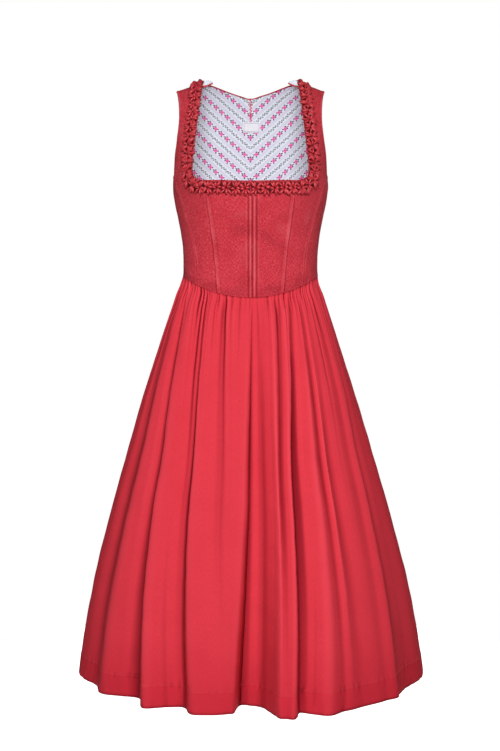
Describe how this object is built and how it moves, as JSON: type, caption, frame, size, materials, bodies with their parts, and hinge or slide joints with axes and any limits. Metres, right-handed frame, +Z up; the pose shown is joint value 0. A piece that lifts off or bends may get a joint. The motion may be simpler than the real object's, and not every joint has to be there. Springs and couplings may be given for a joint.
{
  "type": "dirndl dress",
  "caption": "Sleeveless dirndl dress with a fitted panelled bodice, a square neckline edged in ruched trim, and a long gathered skirt, in hollow worn form.",
  "frame": {"origin": "the mount shoulders: midway between the two shoulder straps, at the height of the shoulder line", "axes": "+Z up, from the hem to the shoulders; the front faces -Y; +X is the wearer's left"},
  "size_m": [0.714, 0.6401, 1.2088],
  "materials": {
    "bodice_cloth": "matt slubbed woven cloth",
    "skirt_cloth": "smooth cotton with a slight sheen",
    "trim_ribbon": "ruched woven band",
    "piping_cord": "smooth covered cord",
    "lining_cotton": "printed cotton, small flowers",
    "label_tape": "plain woven tape"
  },
  "bodies": {
    "root": {"front_centre_left": "bodice_cloth", "front_centre_right": "bodice_cloth", "front_side_left": "bodice_cloth", "front_side_right": "bodice_cloth", "side_left": "bodice_cloth", "side_right": "bodice_cloth", "back_side_left": "bodice_cloth", "back_side_right": "bodice_cloth", "back_centre": "bodice_cloth", "lining_back_left": "lining_cotton", "lining_back_right": "lining_cotton", "label": "label_tape", "trim_left": "trim_ribbon", "trim_right": "trim_ribbon", "neck_piping_left": "piping_cord", "neck_piping_right": "piping_cord", "neck_piping_back": "piping_cord", "skirt_front_right": "skirt_cloth", "skirt_front_left": "skirt_cloth", "skirt_back_left": "skirt_cloth", "skirt_back_right": "skirt_cloth"}
  },
  "joints": []
}
